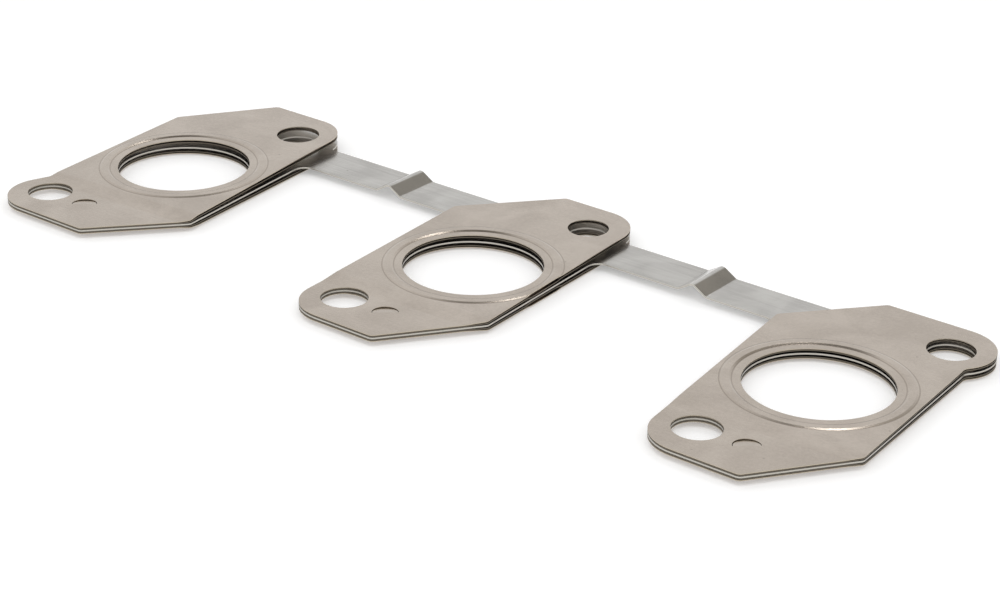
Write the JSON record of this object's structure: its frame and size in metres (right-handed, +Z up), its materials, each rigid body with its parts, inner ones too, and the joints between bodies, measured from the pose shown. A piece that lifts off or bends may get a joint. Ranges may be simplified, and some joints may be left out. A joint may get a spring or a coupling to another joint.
{
  "type": "exhaust manifold gasket",
  "caption": "Layered sheet-steel exhaust manifold gasket: port flanges with embossed beads and bolt holes, joined by narrow strips with folded humps.",
  "frame": {"origin": "on the middle port's axis, in the middle plane of the carrier plate", "axes": "+X along the row of ports, +Y across it towards the strips, +Z up through the layers"},
  "size_m": [0.226, 0.0862, 0.005],
  "materials": {
    "carrier_steel": "cold-rolled stainless sheet, dull",
    "plate_steel": "cold-rolled stainless sheet, warm satin",
    "spring_steel": "cold-rolled stainless spring sheet, satin"
  },
  "bodies": {
    "root": {"carrier_plate": "carrier_steel", "top_plate_left": "plate_steel", "upper_spring_plate_left": "spring_steel", "lower_spring_plate_left": "spring_steel", "bottom_plate_left": "plate_steel", "top_plate_middle": "plate_steel", "upper_spring_plate_middle": "spring_steel", "lower_spring_plate_middle": "spring_steel", "bottom_plate_middle": "plate_steel", "top_plate_right": "plate_steel", "upper_spring_plate_right": "spring_steel", "lower_spring_plate_right": "spring_steel", "bottom_plate_right": "plate_steel"}
  },
  "joints": []
}
